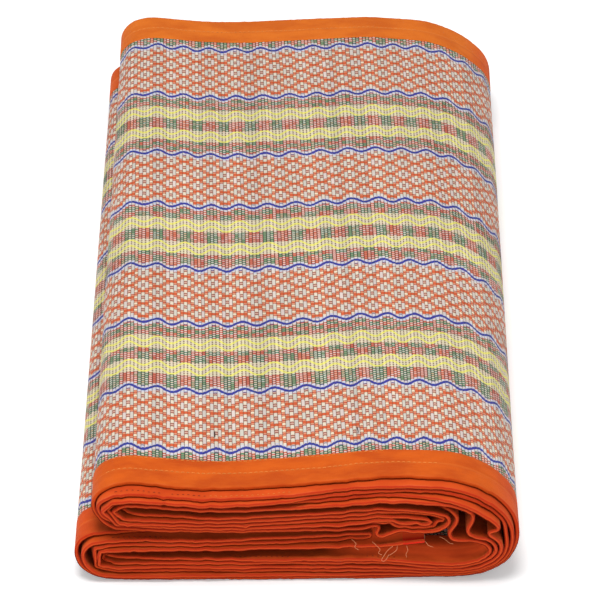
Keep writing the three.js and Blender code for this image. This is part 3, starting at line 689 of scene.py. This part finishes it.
def weave_material():
    m, t, bsdf = material("woven_grass", 0.66, 0.04)
    u, v = cloth_uv()
    v = v + (noise(vector(u * 0.03, v * 0.02, 5.0), 1.0, 1.0) - 0.5) * 1.4
    u = u + (noise(vector(u * 0.09, v * 0.008, 2.0), 1.0, 1.0) - 0.5) * 1.7
    r = (u - WAVE_AT) / REED_PITCH + 0.5
    i = r.floor()
    cu = r.fract() - 0.5                                       # -0.5 .. 0.5 across a reed
    side = cu.abs()
    v_reed = v + (white(vector(i, 7.0)) - 0.5) * 0.7            # no two reeds are caught at the same height
    col = (i / 4.0).round()
    k = (i - col * 4.0).abs()                                  # reeds from the middle of a half wave: 0, 1, 2
    odd_col = (col * 0.5).fract().gt(0.25)
    c = (i * (2 * math.pi / REEDS)).cos()
    c_fine = ((u - WAVE_AT) * (2 * math.pi / WAVE)).cos()
    g = (v / REPEAT).round()
    w = v - g * REPEAT
    up = w.gt(0.0)
    sign = up * 2.0 - 1.0
    w_reed = v_reed - g * REPEAT
    near, middle, outer = g.lt(-0.5), g.abs().lt(0.5), g.abs().gt(1.5)
    rnd = white(vector(i, (v / DOT_PITCH).floor()))
    rnd_reed = white(vector(i, 3.0))
    r0, r2 = k.lt(0.5), k.gt(1.5)
    r1 = 1.0 - r0 - r2

    # plain weave: a reed shows as a dot between two warps
    par = (i * 0.5).fract().gt(0.25)
    cv = ((v_reed / DOT_PITCH + par * 0.5).fract() - 0.5).abs()
    across = side.ramp(0.39, 0.485, 1.0, 0.0)
    knot = side.ramp(0.30, 0.42, 1.0, 0.0) * cv.ramp(0.17, 0.30, 1.0, 0.0)
    dot = across * cv.ramp(0.15, 0.29, 1.0, 0.0)
    gap = side.ramp(0.30, 0.47)

    # coloured stripes of the yellow groups: green and red change places in rows
    def odd_row(first, size):
        return (((first - w) / size).floor() * 0.5).fract().gt(0.25)

    upper = (1.0 - middle) * (1.0 - odd_row(38.2, 4.7)) + middle * (1.0 - odd_row(37.0, 7.0))
    lower = middle * w.lt(-27.7) + g.gt(0.5) * odd_row(-23.0, 4.7)
    check = near * w.gt(1.8) + middle
    crest_green = up * upper + (1.0 - up) * lower
    in_check = w.abs().lt(7.2)
    crest_green = in_check * check + (1.0 - in_check) * crest_green
    crest, between = c.gt(0.35), c.abs().lt(0.35)
    green = crest * crest_green + (1.0 - crest) * (1.0 - crest_green)
    green = (1.0 - between) * green + between * rnd.gt(0.55)
    green = (1.0 - outer) * green + outer * (r0 + r1 * rnd.gt(0.45))
    stripe = mix(green, mix(rnd_reed, rgb(196, 82, 62), rgb(204, 100, 70)), mix(rnd, GREEN, rgb(88, 136, 100)))
    stripe = mix(gap * 0.9, stripe, DARK)
    stripe = mix(knot * (1.0 - r1 * rnd.gt(0.6) * 0.7), stripe, mix(rnd.ramp(0.2, 0.9), REED_WHITE, PINK))

    # yellow stripes: pale body with brown specks and two wavy yellow warps
    yc = w - sign * 15.1
    wave = c_fine * 3.5
    line = (yc - 3.8 - wave).abs().min((yc + 3.8 - wave).abs()).ramp(0.95, 1.6, 1.0, 0.0)
    speck = side.ramp(0.2, 0.42) * ((v_reed / DOT_PITCH + 0.25).fract() - 0.5).abs().ramp(0.16, 0.36, 1.0, 0.0)
    body = mix(rnd, YELLOW_BODY, BODY_PINK)
    body = mix(gap * 0.28, body, SHADE)
    body = mix(dot * 0.5, body, REED_CREAM)
    body = mix(line * 0.95, body, YELLOW)
    body = mix(speck * (1.0 - line * 0.6), body, rgb(96, 66, 44))
    in_yellow = yc.abs().lt(7.9) * (1.0 - outer)
    group = mix(in_yellow, stripe, body)

    # diamond bands: flowers of bare reed on an orange lattice
    d = w_reed - sign * (REPEAT / 2)
    dv0 = (BAND - 2.8 - d - odd_col * (ROW / 2)) / ROW
    dv = ((dv0.round() - dv0) * ROW).abs()                      # 0 at a flower, 7.85 between two

    def seg(centre, half_len):
        return (dv - centre).abs().ramp(half_len - 0.3, half_len + 0.3, 1.0, 0.0)

    full = side.ramp(0.395, 0.475, 1.0, 0.0)
    bars = (r0 * seg(4.1, 2.1) + r1 * seg(0.0, 3.9) + r2 * (seg(0.0, 1.25) + seg(ROW / 2, 1.25))).min(1.0) * full
    small = (r1 * seg(5.5, 0.5) + r2 * (seg(2.6, 0.5) + seg(5.3, 0.5))).min(1.0) * full
    heart = r0 * seg(-0.1, 0.8) * full
    core = r0 * dv.lt(2.1)
    lens = r0 * dv.gt(6.3) + r1 * dv.gt(6.5)
    yarn = mix(lens, RED, ORANGE)
    rim = (r0 * seg(4.1, 2.6) + r1 * seg(0.0, 4.4) + r2 * (seg(0.0, 1.7) + seg(ROW / 2, 1.7))).min(1.0)
    yarn = mix(gap * (1.0 - lens) * 0.85, yarn, SHADE)
    yarn = mix(gap * lens * 0.35, yarn, DARK)
    yarn = mix(rim * (0.35 + gap * 0.45), yarn, rgb(96, 60, 46))
    tint = white(vector(i, dv0.round(), 2.0))
    pale = mix(tint, REED_WHITE, REED_GREY)
    pale = mix((r2 + r0 * 0.6).min(1.0), pale, REED_CREAM)
    dia = mix(core * 0.8, yarn, rgb(142, 84, 66))
    dia = mix(small, dia, PEACH)
    dia = mix(heart, dia, rgb(224, 182, 166))
    dia = mix(bars, dia, pale)

    # the blue waves part the bands
    b = w.abs() - WAVE_OUT - sign * c_fine * WAVE_HIGH
    b_reed = w_reed.abs() - WAVE_OUT - sign * c * WAVE_HIGH
    all_col = mix(b.gt(0.0), group, dia)
    beside = b_reed.abs().ramp(3.5, 4.3, 1.0, 0.0)
    all_col = mix(beside * full, all_col, mix(rnd, BLUE_PALE, REED_WHITE))
    all_col = mix(beside * (1.0 - full), all_col, rgb(112, 96, 110))
    dash = r0 * ((b_reed * sign + c * 4.6).abs().ramp(0.4, 0.8, 1.0, 0.0)) * full
    all_col = mix(dash * 0.8, all_col, rgb(60, 62, 130))
    ply = noise(vector(u * 0.3, w * 0.02, 6.0), 1.0, 1.0) - 0.5
    pinch = side.ramp(0.3, 0.5) * 0.55
    blue_line = ((b - ply * 1.1).abs() - ply * 1.6 + pinch).ramp(1.25, 1.75, 1.0, 0.0)
    all_col = mix(blue_line, all_col, mix(ply.ramp(-0.2, 0.25), mix(rnd * 0.6, BLUE, rgb(30, 62, 116)), rgb(66, 60, 160)))

    tone = mix((noise(vector(u * 0.012, v * 0.012), 1.0, 3.0) - 0.35).clamp(), (0.88, 0.88, 0.88, 1), (1.06, 1.06, 1.06, 1))
    all_col = mix(1.0, all_col, tone, "MULTIPLY")
    all_col = mix(1.0, all_col, mix(rnd_reed, (0.86, 0.86, 0.86, 1), (1.05, 1.04, 1.02, 1)), "MULTIPLY")
    t.links.new(all_col, bsdf.inputs["Base Color"])

    round_reed = 1.0 - cu * cu * 4.0
    h = round_reed * 0.55 + dot * 0.25 + bars * b.gt(0.0) * 0.3 + blue_line * 0.6 + line * in_yellow * 0.3
    t.links.new(bump(h, 0.0006, 0.5), bsdf.inputs["Normal"])
    return m


# ------------------------------------------------------------------ the cotton tape
STITCH_AT = 15.2         # the stitching, in from the tape's inner edge


def tape_material(name, light, dark, pale):
    m, t, bsdf = material(name, 0.82, 0.08)
    bsdf.inputs["Specular IOR Level"].default_value = 0.12
    bsdf.inputs["Sheen Tint"].default_value = (1.0, 0.45, 0.25, 1.0)
    u, v = cloth_uv()
    thread = noise(vector(u * 0.10, v * 2.6), 1.0, 3.0, 0.6)
    cross = noise(vector(u * 2.6, v * 0.12, 9.0), 1.0, 2.0, 0.6)
    cloud = noise(vector(u * 0.03, v * 0.06, 3.0), 1.0, 3.0, 0.55)
    base = mix(cloud.ramp(0.3, 0.7), dark, light)
    base = mix(thread.ramp(0.45, 0.8) * 0.3, base, pale)
    base = mix(cross.ramp(0.55, 0.8) * 0.25, base, rgb(160, 48, 14))
    # painted shade: the plies under the top one are painted a deeper red, for the warm shade they lie in
    shaded_plies = (u - ARC_TOP).abs().ramp(128.0, 160.0)
    base = mix(shaded_plies * 0.6, base, mix(cloud.ramp(0.3, 0.7), rgb(202, 60, 22), rgb(220, 76, 30)))
    # a worn line where the stitches pull the cloth
    worn = (v.abs() - STITCH_AT).abs().ramp(0.3, 1.5, 1.0, 0.0)
    base = mix(worn * 0.22, base, pale)
    # painted shade: the fold over the reed ends is painted a deeper red, more so on the plies under the top one;
    # painted highlight: a pale line along the creased edges of the fold
    base = mix((v.abs() - (TAPE_WIDTH - 0.9)).ramp(0.0, 0.5) * (0.25 + shaded_plies * 0.55), base, rgb(192, 44, 18))
    # painted highlight along the fold's creased edges
    crease = (v.abs() - (TAPE_WIDTH - 1.0)).abs().ramp(0.1, 0.7, 1.0, 0.0)
    base = mix(crease * cloud.ramp(0.4, 0.75) * 0.3, base, rgb(216, 112, 78))
    base = mix(u.gt(LENGTH - 15.0) * v.abs().lt(TAPE_WIDTH - 1.6) * 0.92, base, rgb(232, 16, 8))
    n = t.nodes.new("ShaderNodeUVMap")
    n.uv_map = "painted_shade_light"
    sep = t.nodes.new("ShaderNodeSeparateXYZ")
    t.links.new(n.outputs[0], sep.inputs[0])
    # painted shade: the crevices under the folds and the plies far back are painted dark red, with less sheen and
    # specular there
    painted_shade = (Ex(sep.outputs[0]) + (cloud - 0.5) * 0.35) * Ex(sep.outputs[0]).ramp(0.02, 0.2)
    painted_shade = (painted_shade.clamp() * 1.25).min(1.0)
    base = mix(painted_shade * 0.98, base, rgb(58, 0, 0))
    t.links.new(((1.0 - painted_shade) * 0.12).s, bsdf.inputs["Specular IOR Level"])
    t.links.new(((1.0 - painted_shade) * 0.08).s, bsdf.inputs["Sheen Weight"])
    t.links.new(base, bsdf.inputs["Base Color"])
    # painted light: the marked places on the lit plies glow in the tape's orange
    bsdf.inputs["Emission Color"].default_value = rgb(222, 76, 34)
    t.links.new((Ex(sep.outputs[1]).clamp() * (0.22 + cloud * 0.3)).s, bsdf.inputs["Emission Strength"])
    fine = (u * (2 * math.pi / 0.55)).sin() * (v * (2 * math.pi / 0.55)).sin()
    h = fine * 0.25 + thread * 0.6 + cross * 0.3 - worn * 0.5
    t.links.new(bump(h, 0.0002, 0.6), bsdf.inputs["Normal"])
    return m


def plain_material(name, colour, rough=0.8):
    m, t, bsdf = material(name, rough, 0.05)
    u, v = cloth_uv()
    n = noise(vector(u * 0.9, v * 0.9, 4.0), 1.0, 2.0)
    t.links.new(mix(n.ramp(0.3, 0.7), colour, tuple(min(1.0, c * 0.75) for c in colour[:3]) + (1.0,)), bsdf.inputs["Base Color"])
    return m


MAT_WEAVE = weave_material()
TAPE_NEAR = tape_material("orange_binding", rgb(214, 92, 18), rgb(190, 72, 12), rgb(226, 122, 50))
TAPE_FAR = tape_material("orange_binding_far", rgb(226, 116, 32), rgb(206, 96, 24), rgb(234, 140, 66))
THREAD = plain_material("stitching", rgb(244, 148, 66))
THREAD_DARK = plain_material("stitching_dark", rgb(120, 26, 8))
FRAY = plain_material("frayed_warps", rgb(248, 156, 108))
DARK_THREAD = plain_material("dark_thread", rgb(40, 24, 22))


# ------------------------------------------------------------------ the mat
def face_u(s):
    """Place across the pattern: zero over the middle of the top ply, growing to the right."""
    return ARC_TOP - np.asarray(s, float)


def pattern_u(u, y):
    """The reeds lean, and run closer or wider in places: a crest lies that much further right."""
    u = u + SKEW * y
    t = np.clip(0.5 - y / 532.0, 0, 1)
    return u - 5.2 * np.exp(-((u - 28) / 45.0) ** 2) * t - 3.0 * np.exp(-((u - 68) / 30.0) ** 2) * (1 - t)


S_SHOWN_TO = float(ARC[max(i for i in range(len(WAY)) if PLY_AT[i] == ORDER["T1"])]) + 40.0
# stations along the reeds, out from the near and from the far reed ends
NEAR_STATIONS, FAR_STATIONS = [0, 5, 10, 15, 21, 28, 40, 62, 100, 160, 230], [0, 30, 90, 170, 240]


def build_mat():
    fine = REED_PITCH / 4
    s = samples(0.5, 4.0, 0.22, lambda a: fine if a < S_SHOWN_TO else 4.0)
    x, z, p, q, nx, nz = (c[:, None] for c in at_arc(s))
    shown = np.array([1.0 - smooth(S_SHOWN_TO - 20, S_SHOWN_TO + 10, a) for a in s])[:, None]
    end = REED / 2 - 2.0
    ys = np.array([-end + a for a in NEAR_STATIONS] + [end - a for a in FAR_STATIONS[::-1]])
    m, n = len(ys), len(s)
    ys, sides = np.concatenate([ys, ys[::-1]])[None, :], np.concatenate([-np.ones(m), np.ones(m)])[None, :]
    u = face_u(s)[:, None]
    um = pattern_u(u, ys)
    reed = np.cos(2 * math.pi * (um - WAVE_AT) / REED_PITCH) * 0.17 * shown
    drift = wobble(11, 6, 60, 240)
    sag = 0.25 * drift(u * 0.7 + ys) * shown * np.sin(math.pi * (ys / REED + 0.5))
    h = sides * (MAT / 2 + reed) + sag
    px, pz = over(s, ys, h)
    verts = place(px, ys, pz, x, q, p).reshape(-1, 3)
    uvs = np.stack(np.broadcast_arrays(um, ys), -1).reshape(-1, 2)
    r = 2 * m
    faces = tube_grid(n, r)
    faces.append(tuple(range(r))[::-1])
    faces.append(tuple((n - 1) * r + k for k in range(r)))
    return new_mesh("grass_mat", verts, faces, uvs, MAT_WEAVE)


# ------------------------------------------------------------------ the bindings
def tape_profile():
    """Across the tape: how far in from the reed ends, and height over the ply's middle; outer face, then inner."""
    w = TAPE_WIDTH
    outer = [(w, 1.14), (w - 0.5, 1.34), (w - 4, 1.36), (w - 8, 1.38), (w - 14.0, 1.38), (w - STITCH_AT, 1.22),
             (w - 16.4, 1.39), (w - 18.5, 1.44), (w - 21, 1.46), (w - 26, 1.48), (2.4, 1.5), (1.1, 1.49), (0.42, 1.38),
             (0.1, 1.0), (0.0, 0.4)]
    low = [(a, -b) for a, b in outer[::-1]]
    inner = [(w, -1.0), (w - 14, -1.0), (3.0, -0.95), (3.0, 0.95), (w - 14, 1.0), (w, 1.0)]
    return outer + low + inner


# little gathers in the folded edge: ply, x, half width, how far it stands forward
GATHERS = [("T2", -90.5, 2.2, 1.3), ("T3", -90.0, 1.6, -1.4), ("B4", -114.5, 2.0, 1.2), ("B4", -34.0, 2.2, 1.4),
           ("T2", -118.0, 2.4, 0.9), ("T5", 66.0, 2.5, 1.0), ("C2", -104.0, 3.0, -1.0), ("D4", 22.0, 3.0, 0.9),
           ("D2", -60.0, 3.0, 0.8), ("C3", 38.0, 3.0, -1.0), ("T3", 84.0, 2.0, 1.1), ("B2", 12.0, 2.4, 1.2)]


# plies that lie back in the shade: ply, how dark, fades in from x to x, fades out from x to x
SHADED = [("T6", 0.85, -150, -140, 96, 106), ("C1", 0.9, -108, -92, 60, 70), ("C5", 0.9, -150, -140, 66, 80),
          ("C6", 0.5, -150, -140, 66, 80)]

# plies lit through an opening, given painted light as a glow: ply, from x, to x, how much
LIT = [("D6", 18, 150, 1.0), ("C4", 24, 98, 1.0), ("C2", -125, 60, 0.35)]


def build_binding(name, side, seed, paint):
    s = samples(0.9, 2.6, 0.16)
    x, z, p, q, nx, nz = (c[:, None] for c in at_arc(s))
    prof = np.array(tape_profile())
    m, n = len(prof), len(s)
    a, h = prof[:, 0][None, :], prof[:, 1][None, :]
    rows = s[:, None]
    edge, jag = wobble(seed, 7, 18, 130)(rows), wobble(seed + 4, 9, 4.5, 16)(rows)
    small, puff, rim = wobble(seed + 1, 9, 4, 14)(rows), wobble(seed + 2, 7, 9, 40)(rows), wobble(seed + 3, 7, 20, 160)(rows)
    gather = np.zeros_like(rows)
    if side < 0:
        mark = PLY_AT[np.clip(np.searchsorted(ARC, s), 0, len(PLY_AT) - 1)]
        for ply, gx, width, out in GATHERS:
            gather += ((mark == ORDER[ply])[:, None] * out * np.exp(-((x - gx) / width) ** 2))
    near_edge = np.clip(1 - a / 9.0, 0, 1)
    out = a - near_edge * (0.45 * edge + 0.22 * jag + gather) - np.where(a > TAPE_WIDTH - 1, 0.35 * rim, 0.0)
    wr = 0.10 * small * np.exp(-((a - (TAPE_WIDTH - STITCH_AT)) / 6.0) ** 2)
    thick = 1.0 - 0.03 * (1 + puff) * np.where(a < 16, 1.0, 0.3)
    skin = np.arange(m)[None, :] < m - 6
    hh = h * thick + np.copysign(wr, h) * skin
    y = side * (REED / 2 - out)
    px, pz = over(s, y, hh)
    verts = place(px, y, pz, x, q, p).reshape(-1, 3)
    uvs = np.stack(np.broadcast_arrays(rows, (TAPE_WIDTH - a) * np.sign(h)), -1).reshape(-1, 2)
    # painted shade: how dark a place is painted for lying in the crevices, under each fold and all over the plies that
    # lie far back
    facing = np.clip((-np.sign(h) * nz + 0.3) / 0.8, 0, 1)
    under = np.interp(a, [0.0, 0.1, 0.42, 3.0, 8.0, 31.0], [0.05, 0.6, 1.0, 1.0, 0.9, 0.6]) * facing * skin
    mark = PLY_AT[np.clip(np.searchsorted(ARC, s), 0, len(PLY_AT) - 1)]
    back = np.zeros_like(rows)
    for ply, depth, x0, x1, x2, x3 in SHADED:
        fade = np.clip((x - x0) / (x1 - x0), 0, 1) * (1 - np.clip((x - x2) / (x3 - x2), 0, 1))
        back = np.maximum(back, (mark == ORDER[ply])[:, None] * depth * fade)
    kernel = np.ones(5) / 5
    back[:, 0] = np.convolve(np.pad(back[:, 0], 2, mode="edge"), kernel, "valid")
    # painted light: the upper faces of the plies lit through an opening are marked to glow
    lit = np.zeros_like(rows)
    for ply, x0, x1, much in LIT:
        lit = np.maximum(lit, (mark == ORDER[ply])[:, None] * much * np.clip((x - x0) / 30, 0, 1) * np.clip((x1 - x) / 10, 0, 1))
    lit = lit * np.interp(a, [0, 3, 8, 17, 25], [0.0, 0.0, 1.0, 0.9, 0.12]) * (h * nz > 0)
    painted_shade = np.maximum(under, back * np.interp(a, [0, 20, 31], [1.0, 1.0, 0.6]))
    painted_shade_light = np.stack(np.broadcast_arrays(painted_shade, lit), -1).reshape(-1, 2)
    faces = tube_grid(n, m)
    faces.append(tuple(range(m))[::-1])
    faces.append(tuple((n - 1) * m + k for k in range(m)))
    if side > 0:
        faces = [f[::-1] for f in faces]
    return new_mesh(name, verts, faces, uvs, paint, painted_shade_light=painted_shade_light)


# ------------------------------------------------------------------ stitches and loose threads
def on_ply(ply, x, a, side, height):
    """A point on a ply's upper face: x, distance in from the reed ends, height over the ply's middle."""
    ids = [i for i in range(len(WAY)) if PLY_AT[i] == ORDER[ply]]
    i = min(ids, key=lambda j: abs(WAY[j, 0] - x))
    cx, cz, p, q, nx, nz = (float(c[0]) for c in at_arc([ARC[i]]))
    turn = 1.0 if nz > 0 else -1.0
    cx += (x - cx) * 1.0
    return place(np.array(cx + turn * height * nx), np.array(side * (REED / 2 - a)), np.array(cz + turn * height * nz), cx, q, p)


class Strands:
    """Short rounded strands joined into one mesh."""

    def __init__(self):
        self.verts, self.faces = [], []

    def add(self, points, radius, flat=1.0, ring=5):
        pts = np.array(points, float)
        n = len(pts)
        T = np.gradient(pts, axis=0)
        T /= np.maximum(np.linalg.norm(T, axis=1), 1e-6)[:, None]
        up = np.array([0.02, -0.05, 1.0])
        A = np.cross(T, up)
        A /= np.maximum(np.linalg.norm(A, axis=1), 1e-6)[:, None]
        B = np.cross(A, T)
        base = len(self.verts)
        for i in range(n):
            r = radius * (0.45 if i in (0, n - 1) else 1.0)
            for j in range(ring):
                t = 2 * math.pi * j / ring
                self.verts.append(pts[i] + A[i] * r * math.cos(t) + B[i] * r * flat * math.sin(t))
        for f in tube_grid(n, ring):
            self.faces.append(tuple(base + k for k in f))
        self.faces.append(tuple(base + k for k in range(ring))[::-1])
        self.faces.append(tuple(base + (n - 1) * ring + k for k in range(ring)))

    def build(self, name, paint):
        v = np.array(self.verts)
        return new_mesh(name, v, self.faces, v[:, [0, 2]], paint)


# rows of stitches: ply, from x, to x, in from the reed ends, height over the ply's middle, near or far
STITCH_ROWS = [
    ("T1", -128, 96, TAPE_WIDTH - STITCH_AT, 1.34, -1), ("T1", -128, 96, TAPE_WIDTH - STITCH_AT, 1.34, 1),
    ("T1", -128, 60, TAPE_WIDTH - 1.7, 1.34, -1), ("T2", -58, -4, 3.0, 1.5, -1),
    ("T2", -122, -92, 3.6, 1.5, -1), ("T2", -84, -62, 3.2, 1.5, -1), ("B6", -78, -54, 3.2, 1.5, -1),
    ("C2", -125, -88, 3.2, 1.5, -1), ("D6", -105, -88, 3.0, 1.5, -1), ("D6", 49, 69, 3.0, 1.5, -1),
    ("D6", -45, -5, 2.6, 1.5, -1),
]
STITCH_PITCH = 3.6
# warps frayed from the free ends, as short runs of x, y from the near edge, z
FRAYED = [
    [(52, 2, 33.5), (55, 1, 31), (57.5, 0.2, 28), (56.5, -0.4, 25.5), (59, -0.6, 24)],
    [(70, 3, 33), (66.5, 0.6, 31), (62.5, -0.6, 27.5), (60, -1.4, 23.5), (58.6, -1.8, 20.6), (60.2, -2.0, 19.6), (62, -1.8, 21.6), (63.5, -1.6, 25)],
    [(72, 3, 34), (69.5, 0.4, 31.6), (68.8, -0.8, 28.5), (65.5, -1.4, 25.6), (63.6, -1.6, 24.6)],
    [(77, 3, 34), (75.8, 0.6, 31), (76.6, -0.6, 28), (75.4, -1.2, 25.4), (75.8, -1.6, 22.6)],
    [(38, 2, 35.5), (41, 0.4, 33), (40.2, -0.6, 30.8), (42.8, -1, 28.6)],
    [(84, 2, 36), (88, 0.4, 35.2), (90.5, -0.4, 32.2), (94, -0.8, 30.8)],
    [(98, 3, 37), (102, 0.6, 36.4), (104.6, 0, 34), (107.6, -0.4, 33.4)],
]
# loose ends of dark thread on the top: x, in from the reed ends
DARK_MARKS = [(-56.3, 58.6, 66.4), (42.6, 52.0, 60.2)]


def build_stitches(name, paint, rows):
    work = Strands()
    r = np.random.default_rng(31)
    for ply, x0, x1, a, height, side in rows:
        x, place_in = x0, wobble(int(abs(x0)) + 40, 5, 30, 90)
        while x < x1:
            half = (1.15 if ply == "T1" else 0.7) + 0.25 * r.random()
            aa = a + 0.35 * float(place_in(x)) + r.normal(0, 0.06)
            pts = [on_ply(ply, x + f * half, aa, side, height + (0.16 if abs(f) < 0.9 else -0.12)) for f in (-1, -0.45, 0.45, 1)]
            work.add(pts, 0.30 if ply == "T1" else 0.22, 0.6)
            x += STITCH_PITCH * (1 + r.normal(0, 0.03))
    return work.build(name, paint)


def build_fray():
    work = Strands()
    for row in FRAYED:
        pts = np.array(row, float)
        t = np.linspace(0, len(row) - 1, 6 * len(row))
        smoothed = []
        for v in t:
            i = min(int(v), len(row) - 2)
            f = v - i
            a, b, c, d = pts[max(i - 1, 0)], pts[i], pts[i + 1], pts[min(i + 2, len(row) - 1)]
            smoothed.append(0.5 * (2 * b + (c - a) * f + (2 * a - 5 * b + 4 * c - d) * f * f + (3 * b - a - 3 * c + d) * f ** 3))
        work.add([(x, -REED / 2 - 8 + y, z) for x, y, z in smoothed], 0.17)
    return work.build("frayed_warps", FRAY)


def build_marks():
    work = Strands()
    for x, a, b in DARK_MARKS:
        work.add([on_ply("T1", x + 0.3 * math.sin(f * 5), a + (b - a) * f, -1, MAT / 2 + 0.42) for f in np.linspace(0, 1, 6)], 0.36)
    return work.build("loose_thread", DARK_THREAD)


mat_ob = build_mat()
near_ob = build_binding("tape_near", -1, 21, TAPE_NEAR)
far_ob = build_binding("tape_far", 1, 61, TAPE_FAR)
stitch_ob = build_stitches("stitches", THREAD, STITCH_ROWS[:4])
hole_ob = build_stitches("stitches_dark", THREAD_DARK, STITCH_ROWS[4:])
fray_ob, mark_ob = build_fray(), build_marks()

for ob, node, slot in ((mat_ob, "mat", "woven_grass"), (near_ob, "binding_near", "orange_binding"), (far_ob, "binding_far", "orange_binding")):
    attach(ob, "root")
    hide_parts(node)
for ob in (stitch_ob, hole_ob, fray_ob, mark_ob):
    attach(ob, "root")

floor_mesh = bpy.data.meshes.new("floor")
floor_mesh.from_pydata([(-6, -6, 0), (6, -6, 0), (6, 6, 0), (-6, 6, 0)], [], [(0, 1, 2, 3)])
floor = bpy.data.objects.new("floor", floor_mesh)
bpy.context.scene.collection.objects.link(floor)
fm, ft, fb = material("floor_white", 0.9)
fb.inputs["Base Color"].default_value = (0.93, 0.93, 0.93, 1)
fb.inputs["Emission Color"].default_value = (1, 1, 1, 1)
fb.inputs["Emission Strength"].default_value = 0.3
floor_mesh.materials.append(fm)

# ------------------------------------------------------------------ light and camera
scene = bpy.context.scene
scene.view_settings.view_transform = "Standard"
scene.view_settings.look = "None"
scene.view_settings.exposure = 0.0
scene.view_settings.gamma = 1.0
world = bpy.data.worlds.new("studio")
world.use_nodes = True
world.node_tree.nodes["Background"].inputs[0].default_value = (1, 1, 1, 1)
world.node_tree.nodes["Background"].inputs[1].default_value = 0.45
scene.world = world


def area_light(name, place, target, size, power, size_y=None, color=(1, 1, 1)):
    d = bpy.data.lights.new(name, "AREA")
    d.energy = power
    d.size = size
    d.color = color
    if size_y:
        d.shape = "RECTANGLE"
        d.size_y = size_y
    o = bpy.data.objects.new(name, d)
    o.location = place
    o.rotation_euler = (Vector(target) - Vector(place)).to_track_quat("-Z", "Y").to_euler()
    scene.collection.objects.link(o)
    return o


area_light("key", (-0.15, -0.45, 1.9), (0, 0, 0), 1.0, 28.5)
area_light("fill", (-0.1, -2.0, 0.75), (0, -0.3, 0.04), 0.6, 2.0)

cam_data = bpy.data.cameras.new("camera")
cam_data.sensor_width = 36.0
cam_data.lens = 4710.0 * 36.0 / 600.0
cam_data.clip_start, cam_data.clip_end = 0.05, 50.0
cam = bpy.data.objects.new("camera", cam_data)
cam.location = (0.00243, -2.87927, 1.9852)
cam.rotation_euler = (math.radians(90.0 - 34.3), 0.0, 0.0)
scene.collection.objects.link(cam)
scene.camera = cam
